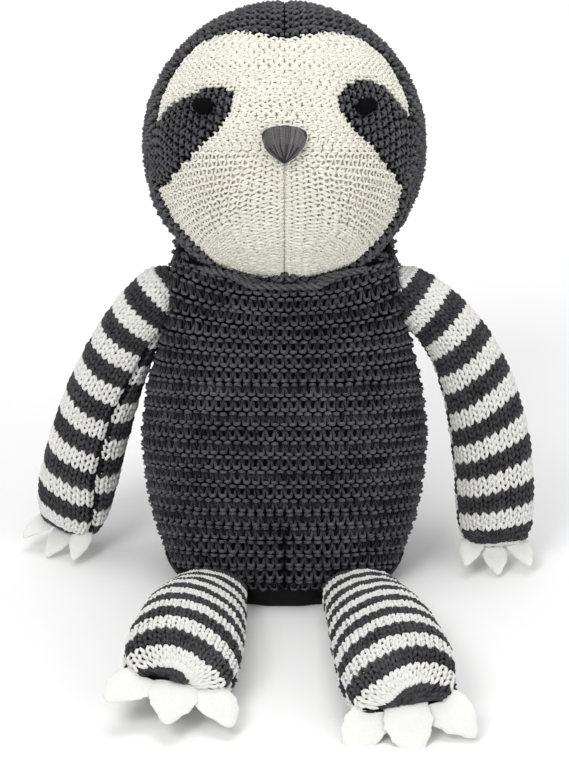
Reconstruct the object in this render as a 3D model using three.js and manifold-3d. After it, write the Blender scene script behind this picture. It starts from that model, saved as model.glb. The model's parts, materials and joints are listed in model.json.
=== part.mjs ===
// A sitting plush sloth, knitted and stuffed, in millimetres. +Z is up and the toy faces -Y.
// The origin is on the floor, under the middle of the torso. "left" is the toy's own left, at +X.
import * as THREE from "three";
import { mergeVertices } from "three/addons/utils/BufferGeometryUtils.js";
import Module from "manifold-3d";

const wasm = await Module();
wasm.setup();

// Cloth, seams and gaps
const knitThickness = 3;
const seamGap = 0.3;
const fillingGap = 0.4;
const jointGap = 0.6;
const soleFlat = 0.5;
const cutOverrun = 60;
const weldTolerance = 0.001;
const diagonalTieShare = 1.08;

// Torso: a barrel that leans back from the hips, with a sloping chest under the chin
const leanDegrees = 18;
const torsoHalfWidth = 55;
const torsoHalfDepth = 46;
const torsoTop = 120;
const torsoBottom = 14;
const chestSlope = 13;
const baseHeight = 8;
const neckRingRadius = 17;
const neckRingWidth = 5;
const neckRingHeight = 6;
const pouchRadius = 28;
const pouchHeight = 14;
const pouchLift = 5;
const pouchBack = 10;

// Head: a ball with a broad muzzle, set a little forward of the spine
const headRadius = 53.2;
const headCentreHeight = 158;
const headCentreBack = 38;
const faceTiltDegrees = 19;
const muzzleReach = 8;
const muzzleDrop = 10;
const muzzleSpread = 27;
const noseWidth = 16;
const noseHeight = 14;
const noseProud = 3;
const eyeWidth = 8.5;
const eyeHeight = 7;
const eyeProud = 1.5;
const eyeSpread = 29.5;
const eyeRise = 13.5;

// Arms: stuffed sleeves that hang beside the torso
const shoulderSpread = 46;
const shoulderHeight = 102;
const shoulderBack = 30;
const shoulderRadius = 10.5;
const shoulderHalfDepth = 11;
const armHalfWidth = 15;
const armHalfDepth = 13.5;
const leftHandSpread = 79;
const leftHandBack = 8.5;
const rightHandSpread = 82.5;
const rightHandBack = 23;
const handHeight = 9;
const leftArmTwistDegrees = -8;
const rightArmTwistDegrees = 35;

// Legs: stuffed sleeves that lie forward on the floor, pinched where they are sewn on
const hipSpread = 28;
const hipFront = 31;
const hipRadius = 8;
const hipHalfWidth = 15;
const footHalfWidth = 21;
const footHalfHeight = 16;
const leftFootSpread = 42;
const leftFootFront = 134;
const leftToeHeight = 11;
const leftLegTwistDegrees = 6;
const rightFootSpread = 38;
const rightFootFront = 123;
const rightToeHeight = 14;
const rightLegTwistDegrees = -10;

// Claws: felt petals held in the end seams
const clawThickness = 2.6;
const clawTab = 4;
const footClawLength = 17;
const footClawWidth = 15.5;
const footClawFanDegrees = 30;
const leftFootDroopDegrees = -36;
const rightFootDroopDegrees = -14;
const footClawSpacing = 12.5;
const handClawLength = 14;
const handClawWidth = 9.5;
const handClawFanDegrees = 16;
const handDroopDegrees = 48;
const handClawSpacing = 8.2;
const clawSetback = 3;
const hemHalfHeight = 3.8;

// Fineness of the round forms
const torsoSides = 18;
const headSides = 20;
const headRings = 12;
const limbSides = 10;
const limbStations = 8;
const domeRings = 2;
const socketSides = 16;
const socketRings = 10;
const featureSteps = 2;
const clawSides = 6;

// Torso outline from base to neck, as shares of its top over the hips and of its half width
const torsoHeightShares = [-0.1, -0.04, 0.04, 0.15, 0.3, 0.45, 0.6, 0.75, 0.88, 0.985];
const torsoWidthShares = [0.56, 0.69, 0.8, 0.9, 0.975, 1, 0.965, 0.875, 0.8, 0.74];

// Face outlines seen from in front, as shares of the head's radius from its middle
const maskShares = [
  [0, 0.72], [0.18, 0.785], [0.36, 0.78], [0.57, 0.69], [0.73, 0.52], [0.83, 0.34], [0.865, 0.2],
  [0.87, 0], [0.83, -0.3], [0.77, -0.53], [0.6, -0.74], [0.4, -0.88], [0.2, -0.925], [0, -0.88],
];
const patchShares = [
  [0.36, 0.33], [0.45, 0.45], [0.57, 0.46], [0.74, 0.35], [0.88, 0.18],
  [0.95, -0.08], [0.87, -0.27], [0.7, -0.1], [0.52, 0.06], [0.4, 0.19],
];
const noseShares = [[-0.5, 0.3], [0, 0.46], [0.5, 0.3], [0.45, -0.06], [0, -0.54], [-0.45, -0.06]];
const eyeShares = [[-0.5, -0.1], [-0.2, 0.4], [0.3, 0.42], [0.5, 0.1], [0.2, -0.4], [-0.3, -0.42]];
// How far out, down and along an arm's middle runs, as shares of the way from shoulder to hand
const leftArmRouteShares = [[0, 0], [0.46, 0.12], [0.8, 0.35], [0.96, 0.58], [1.02, 0.8], [1, 1]];
const rightArmRouteShares = [[0, 0], [0.27, 0.12], [0.56, 0.36], [0.76, 0.6], [0.9, 0.81], [1, 1]];
// How far a leg's middle runs forward and rises from the floor, as shares of its run and of its swell
const legRouteShares = [0, 0.14, 0.34, 0.58, 0.82, 1];
const legSwellShares = [0, 0.3, 0.72, 0.96, 1];
// A limb's fullness between its sewn root and its end, and how its last stretch closes to the hem
const armSwellShares = [0, 0.15, 0.5, 0.82, 1, 1, 0.92];
const handCloseShare = 0.2;
const footCloseShare = 0.28;
const widthCloseShare = 0.3;
const hemWidthShare = 0.72;
const twistRunShare = 0.33;
// A claw's petal, as shares of its length and of its half width
const petalShares = [[0, 0.72], [0.32, 1], [0.68, 0.94], [0.92, 0.5]];

const cloth = (color, roughness = 0.95) => new THREE.MeshStandardMaterial({ color, roughness, metalness: 0 });
const knitDark = cloth(0x3b3b40);
const knitCream = cloth(0xf0efe2);
const knitStripe = cloth(0x8f8f8c);
const baseCloth = cloth(0x16161a, 0.8);
const clawFelt = cloth(0xf7f6f1, 1);
const noseThread = cloth(0x77747a, 0.5);
const eyeThread = cloth(0x08080a, 0.5);
const fibreFilling = cloth(0xfafafa, 1);
const pouchCloth = cloth(0xc9c4b6, 0.9);

const radians = THREE.MathUtils.degToRad;
const lerp = THREE.MathUtils.lerp;
const point = (x, y, z) => new THREE.Vector3(x, y, z);
const middleOf = (points) => points.reduce((sum, p) => sum.add(p), point()).multiplyScalar(1 / points.length);

// Turns a closed geometry into a solid
function solidFrom(geometry) {
  const bare = new THREE.BufferGeometry();
  bare.setAttribute("position", geometry.getAttribute("position"));
  bare.setIndex(geometry.index);
  const merged = mergeVertices(bare, weldTolerance);
  return new wasm.Manifold(
    new wasm.Mesh({
      numProp: 3,
      vertProperties: new Float32Array(merged.attributes.position.array),
      triVerts: new Uint32Array(merged.index.array),
    }),
  );
}

// Turns a solid back into a geometry
function geometryOf(solid) {
  const mesh = solid.getMesh();
  const positions = new Float32Array(mesh.numVert * 3);
  for (let i = 0; i < mesh.numVert; i += 1) {
    positions.set(mesh.vertProperties.subarray(i * mesh.numProp, i * mesh.numProp + 3), i * 3);
  }
  const geometry = new THREE.BufferGeometry();
  geometry.setAttribute("position", new THREE.BufferAttribute(positions, 3));
  geometry.setIndex(new THREE.BufferAttribute(new Uint32Array(mesh.triVerts), 1));
  geometry.computeVertexNormals();
  return geometry;
}

// Closes rings of points, all with as many sides, into one body with a pole at each end.
// Each four-sided face is split along its shorter diagonal, and near ties along the first one.
function loft(rings, startPole, endPole) {
  const sides = rings[0].length;
  const next = (i) => (i + 1) % sides;
  const points = [startPole, ...rings.flat(), endPole];
  const at = (ring, side) => 1 + ring * sides + side;
  const faces = [];
  for (let i = 0; i < sides; i += 1) {
    faces.push([0, at(0, next(i)), at(0, i)]);
    faces.push([points.length - 1, at(rings.length - 1, i), at(rings.length - 1, next(i))]);
    for (let k = 0; k + 1 < rings.length; k += 1) {
      const corners = [at(k, i), at(k, next(i)), at(k + 1, next(i)), at(k + 1, i)];
      const [a, b, c, d] = corners;
      const across = points[a].distanceTo(points[c]) <= points[b].distanceTo(points[d]) * diagonalTieShare;
      faces.push(...(across ? [[a, b, c], [a, c, d]] : [[a, b, d], [b, c, d]]));
    }
  }
  const body = (triangles) => {
    const geometry = new THREE.BufferGeometry().setFromPoints(points);
    return solidFrom(geometry.setIndex(triangles.flat()));
  };
  const solid = body(faces);
  return solid.volume() < 0 ? body(faces.map(([a, b, c]) => [a, c, b])) : solid;
}

// A ball stretched along X, Y and Z
function ellipsoid(centre, radii) {
  const ball = new THREE.SphereGeometry(1, socketSides, socketRings);
  ball.scale(radii.x, radii.y, radii.z).translate(centre.x, centre.y, centre.z);
  return solidFrom(ball);
}

// How much a faceted round is grown so that its flats clear the true round
const facetGrowth = 1 / (Math.cos(Math.PI / socketSides) * Math.cos(Math.PI / (2 * socketRings)));

// A box between two corners
function boxBetween(low, high) {
  const size = high.clone().sub(low);
  const middle = high.clone().add(low).multiplyScalar(0.5);
  const box = new THREE.BoxGeometry(size.x, size.y, size.z);
  return solidFrom(box.translate(middle.x, middle.y, middle.z));
}

// Everything over a height
function spaceOver(height) {
  const far = torsoTop + leftFootFront;
  return boxBetween(point(-far, -far, height), point(far, far, height + far));
}

const bodiesBySize = (solid) => solid.decompose().sort((a, b) => b.volume() - a.volume());
const largest = (solid) => bodiesBySize(solid)[0];

// Of a solid's two largest bodies, the one that lies further along a direction
function bodyTowards(solid, direction) {
  const bodies = bodiesBySize(solid).slice(0, 2);
  const reach = (body) => {
    const box = body.boundingBox();
    return point(...box.min).add(point(...box.max)).dot(direction);
  };
  return bodies.sort((a, b) => reach(b) - reach(a))[0];
}

const without = (solid, cuts) => cuts.reduce((rest, cut) => rest.subtract(cut), solid);
const opposite = (direction) => direction.clone().negate();

// Torso frame: along the leaning spine, and forward at right angles to it
const lean = radians(leanDegrees);
const spine = point(0, Math.sin(lean), Math.cos(lean));
const chestward = point(0, -Math.cos(lean), Math.sin(lean));
const torsoPoint = (side, forward, along) =>
  point(side, 0, 0).addScaledVector(chestward, forward).addScaledVector(spine, along);

// The torso's form, smaller all round by inset, with a flat underside
function torsoForm(inset) {
  const rings = torsoHeightShares.map((heightShare, k) => {
    const halfWidth = torsoWidthShares[k] * torsoHalfWidth - inset;
    const halfDepth = torsoWidthShares[k] * torsoHalfDepth - inset;
    const slope = chestSlope * Math.max(0, heightShare) ** 3;
    return Array.from({ length: torsoSides }, (unused, i) => {
      const turn = (i / torsoSides) * Math.PI * 2;
      const along = heightShare * (torsoTop - inset) - slope * Math.sin(turn);
      return torsoPoint(Math.cos(turn) * halfWidth, Math.sin(turn) * halfDepth, along);
    });
  });
  const top = torsoPoint(0, 0, torsoTop - inset);
  const bottom = torsoPoint(0, 0, inset - torsoBottom);
  return loft(rings, bottom, top).intersect(spaceOver(inset));
}

// Head frame: from its middle, forward through the face
const faceTilt = radians(faceTiltDegrees);
const headCentre = point(0, headCentreBack, headCentreHeight);
const faceward = point(0, -Math.cos(faceTilt), Math.sin(faceTilt));
const headTurn = new THREE.Matrix4().makeRotationX(-faceTilt).setPosition(headCentre);
const neckFoot = headCentre.clone().addScaledVector(spine, -headRadius);
const neckTurn = new THREE.Matrix4().makeRotationX(Math.PI / 2 - lean);

// The head's form, with the muzzle raised as a smooth swell
function headForm(radius) {
  const ball = new THREE.SphereGeometry(radius, headSides, headRings).rotateX(Math.PI / 2);
  const at = ball.getAttribute("position");
  for (let i = 0; i < at.count; i += 1) {
    const p = point().fromBufferAttribute(at, i);
    const forward = Math.min(1, Math.max(0, (-2 * p.y) / radius));
    const away = Math.hypot(p.x, p.z + muzzleDrop) / muzzleSpread;
    at.setY(i, p.y - muzzleReach * forward * Math.exp(-(away ** 4) / 2));
  }
  return solidFrom(ball.applyMatrix4(headTurn));
}

// A round bar along the neck, from its foot towards the torso and the head alike
function neckBar(radius, halfLength) {
  const bar = new THREE.CylinderGeometry(radius, radius, halfLength * 2, socketSides).applyMatrix4(neckTurn);
  return solidFrom(bar.translate(neckFoot.x, neckFoot.y, neckFoot.z));
}

// Moves each point of an outline away from the outline's own middle
function grown(outline, by) {
  const centre = middleOf(outline.map(([x, z]) => point(x, z, 0)));
  return outline.map(([x, z]) => {
    const out = point(x, z, 0).sub(centre);
    return out.setLength(out.length() + by).add(centre).toArray();
  });
}

// The block behind an outline on the face, from the head's middle plane out past the muzzle
function faceBlock(outline, steps = 1) {
  const curve = new THREE.CatmullRomCurve3(outline.map(([x, z]) => point(x, z, 0)), true);
  const ring = curve.getPoints(outline.length * steps).slice(0, -1);
  const shape = new THREE.Shape(ring.map((p) => new THREE.Vector2(p.x, p.y)));
  const block = new THREE.ExtrudeGeometry(shape, { depth: headRadius * 2, bevelEnabled: false });
  return solidFrom(block.rotateX(Math.PI / 2).applyMatrix4(headTurn));
}

const mirrored = (outline) => outline.map(([x, z]) => [-x, z]).reverse();
const scaled = (outline, width, height) => outline.map(([x, z]) => [x * width, z * height]);

// A thread feature that stands on the face inside an outline
function faceFeature(outline, proud) {
  return headForm(headRadius + seamGap + proud)
    .intersect(faceBlock(outline, featureSteps))
    .subtract(headForm(headRadius + seamGap));
}

// The head's sewn panels, its thread features and its filling
function headPieces() {
  const lining = headForm(headRadius - knitThickness);
  const neckHole = neckBar(neckRingRadius - neckRingWidth, neckRingHeight);
  const shell = headForm(headRadius).subtract(lining).subtract(neckHole);

  const half = scaled(maskShares, headRadius, headRadius);
  const mask = [...half, ...mirrored(half).slice(1, -1)];
  const patch = scaled(patchShares, headRadius, headRadius);
  const patches = [patch, mirrored(patch)];
  const patchCuts = patches.map((outline) => faceBlock(grown(outline, seamGap)));
  const face = without(shell.intersect(faceBlock(mask)), patchCuts);
  const far = point(0, headRadius * 2, headRadius * 2);
  const crownCut = boxBetween(
    headCentre.clone().sub(far).setX(-seamGap / 2),
    headCentre.clone().add(far).setX(seamGap / 2),
  );
  const hoods = without(shell, [faceBlock(grown(mask, seamGap)), ...patchCuts, crownCut]);

  const moved = (outline, x, z) => outline.map((p) => [p[0] + x, p[1] + z]);
  const leftEye = moved(scaled(eyeShares, eyeWidth, eyeHeight), eyeSpread, eyeRise);
  return {
    hood_left: [bodyTowards(hoods, point(1, 0, 0)), knitDark],
    hood_right: [bodyTowards(hoods, point(-1, 0, 0)), knitDark],
    face_panel: [bodyTowards(face, faceward), knitCream],
    left_eye_patch: [shell.intersect(faceBlock(patches[0])), knitDark],
    right_eye_patch: [shell.intersect(faceBlock(patches[1])), knitDark],
    left_eye: [faceFeature(leftEye, eyeProud), eyeThread],
    right_eye: [faceFeature(mirrored(leftEye), eyeProud), eyeThread],
    nose: [faceFeature(scaled(noseShares, noseWidth, noseHeight), noseProud), noseThread],
    head_filling: [headForm(headRadius - knitThickness - fillingGap), fibreFilling],
  };
}

// A value read along a table of shares
function along(shares, share) {
  const place = share * (shares.length - 1);
  const step = Math.min(Math.floor(place), shares.length - 2);
  return lerp(shares[step], shares[step + 1], place - step);
}

// A limb's stations from root to end: its middle, its directions and its half sizes there
function limbStationsOf({ route, swellShares, root, full }) {
  const curve = new THREE.CatmullRomCurve3(route);
  return Array.from({ length: limbStations }, (unused, k) => {
    const share = k / (limbStations - 1);
    const forward = curve.getTangentAt(share);
    const side = point(1, 0, 0).addScaledVector(forward, -forward.x).normalize();
    side.applyAxisAngle(forward, lerp(root.twist, full.twist, Math.min(1, share / twistRunShare)));
    const swell = along(swellShares, share);
    return {
      share,
      middle: curve.getPointAt(share),
      forward,
      side,
      top: point().crossVectors(forward, side),
      halfWidth: lerp(root.halfWidth, full.halfWidth, swell),
      halfDepth: lerp(root.halfDepth, full.halfDepth, swell),
    };
  });
}

// A limb's rings, smaller all round by inset: a domed root, a full sleeve and a blunt sewn end
function limbRings({ stations, closeShare, domeReach }, inset) {
  const ring = (s, halfWidth, halfDepth, shift) =>
    Array.from({ length: limbSides }, (unused, i) => {
      const turn = (i / limbSides) * Math.PI * 2;
      return s.middle
        .clone()
        .addScaledVector(s.side, Math.cos(turn) * halfWidth)
        .addScaledVector(s.top, Math.sin(turn) * halfDepth)
        .addScaledVector(s.forward, shift);
    });
  const first = stations[0];
  const last = stations.at(-1);
  const dome = Array.from({ length: domeRings }, (unused, k) => {
    const turn = ((domeRings - k) / (domeRings + 1)) * (Math.PI / 2);
    const size = Math.cos(turn);
    const reach = (domeReach - inset) * Math.sin(turn);
    return ring(first, (first.halfWidth - inset) * size, (first.halfDepth - inset) * size, -reach);
  });
  const sleeve = stations.slice(0, -1).map((s) => {
    const left = Math.min(1, (1 - s.share) / closeShare);
    const full = Math.sqrt(1 - (1 - left) ** 2);
    const halfWidth = s.halfWidth * lerp(1, full, widthCloseShare) - inset;
    const halfDepth = Math.max(s.halfDepth * full, hemHalfHeight) - inset;
    return ring(s, halfWidth, halfDepth, 0);
  });
  const hem = ring(last, last.halfWidth * hemWidthShare - inset, hemHalfHeight - inset, -inset);
  return [...dome, ...sleeve, hem];
}

const rootPole = ({ stations: [first], domeReach }, inset) =>
  first.middle.clone().addScaledVector(first.forward, inset - domeReach);

// A limb's whole form, smaller all round by inset
function limbForm(form, inset) {
  const rings = limbRings(form, inset);
  return loft(rings, rootPole(form, inset), middleOf(rings.at(-1)));
}

// One of a limb's two panels, the cloth on one hand of its side seams
function limbPanel(form, hand) {
  const arc = (ring) => {
    const start = hand > 0 ? 0 : limbSides / 2;
    const points = Array.from({ length: limbSides / 2 + 1 }, (unused, i) =>
      ring[(start + i) % limbSides].clone(),
    );
    const clear = middleOf(points).sub(middleOf(ring)).setLength(seamGap / 2);
    [points[0], points.at(-1)].forEach((p) => p.add(clear));
    return points;
  };
  const outside = limbRings(form, 0).map(arc);
  const inside = limbRings(form, knitThickness).map(arc);
  const rings = inside.map((points, k) => [...points, ...outside[k].toReversed()]);
  const { top } = form.stations[0];
  const root = rootPole(form, 0).addScaledVector(top, (hand * seamGap) / 2);
  const hem = outside.at(-1);
  return loft(rings, root, middleOf([hem[0], hem.at(-1)]));
}

// A claw, a felt petal with a sewn tab, that points along -Y, larger all round by margin
function petalForm(length, width, margin, placed) {
  const outline = [[-clawTab / length, petalShares[0][1]], ...petalShares];
  const rings = outline.map(([share, wide]) =>
    Array.from({ length: clawSides }, (unused, i) => {
      const turn = (i / clawSides) * Math.PI * 2;
      const x = Math.cos(turn) * ((wide * width) / 2 + margin);
      const z = Math.sin(turn) * (clawThickness / 2 + margin);
      return point(x, -share * length, z).applyMatrix4(placed);
    }),
  );
  const root = point(0, clawTab + margin, 0).applyMatrix4(placed);
  return loft(rings, root, point(0, -length - margin, 0).applyMatrix4(placed));
}

// The three claws of a limb, each with the room that its tab needs
function limbClaws(stations, { length, width, fan, droop, spacing }) {
  const end = stations.at(-1);
  const frame = new THREE.Matrix4().makeBasis(end.side, opposite(end.forward), opposite(end.top));
  return [-1, 0, 1].map((place) => {
    const seat = end.middle
      .clone()
      .addScaledVector(end.side, place * spacing)
      .addScaledVector(end.forward, -clawSetback * Math.abs(place));
    const placed = new THREE.Matrix4()
      .makeTranslation(seat)
      .multiply(frame)
      .multiply(new THREE.Matrix4().makeRotationX(radians(droop)))
      .multiply(new THREE.Matrix4().makeRotationZ(radians(fan) * place));
    return {
      claw: petalForm(length, width, 0, placed),
      room: petalForm(length, width, seamGap, placed),
    };
  });
}

// A limb's two panels, its filling and its claws
function limbPieces({ form, ball, claws, names }) {
  const made = limbClaws(form.stations, claws);
  const cuts = [torsoForm(-jointGap).subtract(ball), ...made.map((c) => c.room)];
  const panel = (hand) => largest(without(limbPanel(form, hand), cuts).intersect(spaceOver(0)));
  const stuffing = without(limbForm(form, knitThickness + fillingGap), cuts);
  const pieces = {
    [names.top]: [panel(1), knitStripe],
    [names.under]: [panel(-1), knitStripe],
    [names.filling]: [stuffing.intersect(spaceOver(knitThickness + fillingGap)), fibreFilling],
  };
  made.forEach((c, i) => {
    pieces[names.claw + (i + 1)] = [c.claw.intersect(spaceOver(0)), clawFelt];
  });
  return pieces;
}

// Where a shoulder and a hip turn, and the room that each has in the torso
const shoulderAt = (hand) => point(hand * shoulderSpread, shoulderBack, shoulderHeight);
const hipAt = (hand) => point(hand * hipSpread, -hipFront, hipRadius - soleFlat);
const shoulderRadii = point(shoulderRadius, shoulderHalfDepth, shoulderRadius);
const hipRadii = point(hipHalfWidth, hipRadius, hipRadius);
const roomIn = (centre, radii) =>
  ellipsoid(centre, radii.clone().addScalar(jointGap).multiplyScalar(facetGrowth));

function armPieces(hand) {
  const left = hand > 0;
  const shoulder = shoulderAt(hand);
  const end = point(
    hand * (left ? leftHandSpread : rightHandSpread),
    left ? leftHandBack : rightHandBack,
    handHeight,
  );
  const way = end.clone().sub(shoulder);
  const route = (left ? leftArmRouteShares : rightArmRouteShares).map(([out, down]) =>
    shoulder.clone().add(point(way.x * out, way.y * down, way.z * down)),
  );
  const twist = radians(left ? leftArmTwistDegrees : rightArmTwistDegrees);
  const stations = limbStationsOf({
    route,
    swellShares: armSwellShares,
    root: { halfWidth: shoulderRadius, halfDepth: shoulderHalfDepth, twist },
    full: { halfWidth: armHalfWidth, halfDepth: armHalfDepth, twist },
  });
  const prefix = left ? "left" : "right";
  return limbPieces({
    form: { stations, closeShare: handCloseShare, domeReach: shoulderRadius },
    ball: ellipsoid(shoulder, shoulderRadii),
    claws: {
      length: handClawLength,
      width: handClawWidth,
      fan: handClawFanDegrees,
      droop: handDroopDegrees,
      spacing: handClawSpacing,
    },
    names: {
      top: prefix + "_arm_front_panel",
      under: prefix + "_arm_back_panel",
      filling: prefix + "_arm_filling",
      claw: prefix + "_hand_claw_",
    },
  });
}

function legPieces(hand) {
  const left = hand > 0;
  const hip = hipAt(hand);
  const end = point(
    hand * (left ? leftFootSpread : rightFootSpread),
    -(left ? leftFootFront : rightFootFront),
    left ? leftToeHeight : rightToeHeight,
  );
  const route = legRouteShares.map((share, k) => {
    const p = hip.clone().lerp(end, share);
    const swell = legSwellShares[k];
    return swell === undefined ? end : p.setZ(lerp(hipRadius, footHalfHeight, swell) - soleFlat);
  });
  const twist = radians(left ? leftLegTwistDegrees : rightLegTwistDegrees);
  const stations = limbStationsOf({
    route,
    swellShares: legSwellShares,
    root: { halfWidth: hipHalfWidth, halfDepth: hipRadius, twist: 0 },
    full: { halfWidth: footHalfWidth, halfDepth: footHalfHeight, twist },
  });
  const prefix = left ? "left" : "right";
  return limbPieces({
    form: { stations, closeShare: footCloseShare, domeReach: hipRadius },
    ball: ellipsoid(hip, hipRadii),
    claws: {
      length: footClawLength,
      width: footClawWidth,
      fan: footClawFanDegrees,
      droop: left ? leftFootDroopDegrees : rightFootDroopDegrees,
      spacing: footClawSpacing,
    },
    names: {
      top: prefix + "_leg_top_panel",
      under: prefix + "_leg_sole_panel",
      filling: prefix + "_leg_filling",
      claw: prefix + "_foot_claw_",
    },
  });
}

// The torso's panels, filling and pellet pouch, and the seam ring at the neck
function torsoPieces() {
  const headRoom = roomIn(headCentre, point(headRadius, headRadius, headRadius));
  const limbRooms = [1, -1].flatMap((hand) => [
    roomIn(shoulderAt(hand), shoulderRadii),
    roomIn(hipAt(hand), hipRadii),
  ]);
  const rooms = [headRoom, ...limbRooms];
  const shell = torsoForm(0).subtract(torsoForm(knitThickness));
  const far = torsoTop + cutOverrun;
  const sideSeam = new THREE.BoxGeometry(far, seamGap, far * 2).applyMatrix4(
    new THREE.Matrix4().makeRotationX(-lean),
  );
  const ringRoom = neckBar((neckRingRadius + seamGap) * facetGrowth, neckRingHeight + seamGap);
  const cuts = [...rooms, ringRoom];
  const walls = without(shell.intersect(spaceOver(baseHeight + seamGap)), [...cuts, solidFrom(sideSeam)]);
  const base = without(shell, [spaceOver(baseHeight), ...rooms]);
  const ring = neckBar(neckRingRadius, neckRingHeight)
    .subtract(neckBar(neckRingRadius - neckRingWidth, neckRingHeight * 2))
    .subtract(headRoom);

  const pouchMiddle = point(0, pouchBack, pouchHeight / 2 + pouchLift);
  const pouch = (margin) =>
    ellipsoid(
      pouchMiddle,
      point(pouchRadius + margin, pouchRadius + margin, pouchHeight / 2 + margin),
    );
  const stuffing = torsoForm(knitThickness + fillingGap);
  const bung = neckBar(neckRingWidth / 2, torsoTop).subtract(headRoom);
  return {
    body_front_panel: [bodyTowards(walls, chestward), knitDark],
    body_back_panel: [bodyTowards(walls, opposite(chestward)), knitDark],
    base_panel: [base, baseCloth],
    body_filling: [without(stuffing, [...cuts, pouch(seamGap), bung]), fibreFilling],
    pellet_pouch: [pouch(0), pouchCloth],
    neck_seam_ring: [ring, knitDark],
  };
}

const sloth = new THREE.Group();
const pieces = {
  ...torsoPieces(),
  ...headPieces(),
  ...armPieces(1),
  ...armPieces(-1),
  ...legPieces(1),
  ...legPieces(-1),
};
for (const [name, [solid, material]] of Object.entries(pieces)) {
  const mesh = new THREE.Mesh(geometryOf(solid), material);
  mesh.name = name;
  sloth.add(mesh);
}

export default sloth;
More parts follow.
